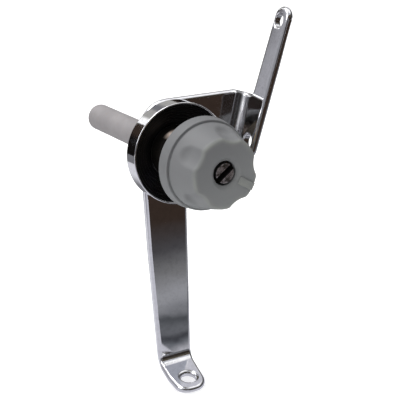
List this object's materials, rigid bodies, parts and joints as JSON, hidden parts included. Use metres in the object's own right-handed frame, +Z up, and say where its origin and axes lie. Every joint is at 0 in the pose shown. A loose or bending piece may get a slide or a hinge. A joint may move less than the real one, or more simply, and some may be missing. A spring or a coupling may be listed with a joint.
{
  "type": "keyed window lock",
  "caption": "Push-and-turn window lock: a folded chromed bracket carries a knob whose sprung bolt is held out by a key-turned plug.",
  "frame": {"origin": "middle of the flange's outer screw face, midway between its two screw holes", "axes": "+Z up, along the leg towards the arm's tip; +Y along the bolt, away from the knob; +X to the right as the user sees the knob"},
  "size_m": [0.0596, 0.0987, 0.1339],
  "materials": {
    "chrome": "bright chromed sheet steel",
    "satin_steel": "satin steel",
    "blacked_steel": "oil-blacked steel",
    "zinc_steel": "zinc-plated steel",
    "brass": "plain brass",
    "grey_plastic": "matte grey moulded plastic",
    "black_rubber": "matte black rubber",
    "white_nylon": "natural nylon"
  },
  "bodies": {
    "lock_body": {"mounting_bracket": "chrome", "bezel_cup": "chrome", "cup_liner": "black_rubber", "seating_washer": "black_rubber", "barrel": "blacked_steel", "guide_bush": "white_nylon", "wiper_seal": "black_rubber", "lock_washer": "zinc_steel", "barrel_nut": "zinc_steel", "return_spring": "zinc_steel"},
    "push_carrier": {"spring_seat": "zinc_steel"},
    "knob_and_bolt": {"knob": "grey_plastic", "hub_insert": "brass", "grub_screw": "zinc_steel", "bolt_rod": "satin_steel", "buffer_washer": "black_rubber", "stop_ring": "zinc_steel"},
    "plug": {"key_plug": "satin_steel", "plug_o_ring": "black_rubber", "plug_clip": "zinc_steel", "cam_rod": "satin_steel"},
    "pin": {"locking_pin": "satin_steel"}
  },
  "joints": [
    {"name": "knob_push", "type": "slide", "parent": "lock_body", "child": "push_carrier", "axis": [0, 1, 0], "range_m": [0, 0.015], "stiffness_N_per_m": 600, "springref_m": -0.005, "deforming": ["return_spring"]},
    {"name": "knob_turn", "type": "hinge", "parent": "push_carrier", "child": "knob_and_bolt", "pos_m": [-0.03444, 0.00345, -0.02071], "axis": [0, 1, 0], "range_deg": [0, 90]},
    {"name": "key_turn", "type": "hinge", "parent": "knob_and_bolt", "child": "plug", "pos_m": [-0.03444, 0.00345, -0.02071], "axis": [0, 1, 0], "range_deg": [0, 90]},
    {"name": "pin_throw", "type": "slide", "parent": "knob_and_bolt", "child": "pin", "axis": [0, 0, 1], "range_m": [0, 0.0012]}
  ],
  "couplings": [
    {"joint": "key_turn", "follows": "pin_throw", "rad_per_m": 1309}
  ]
}
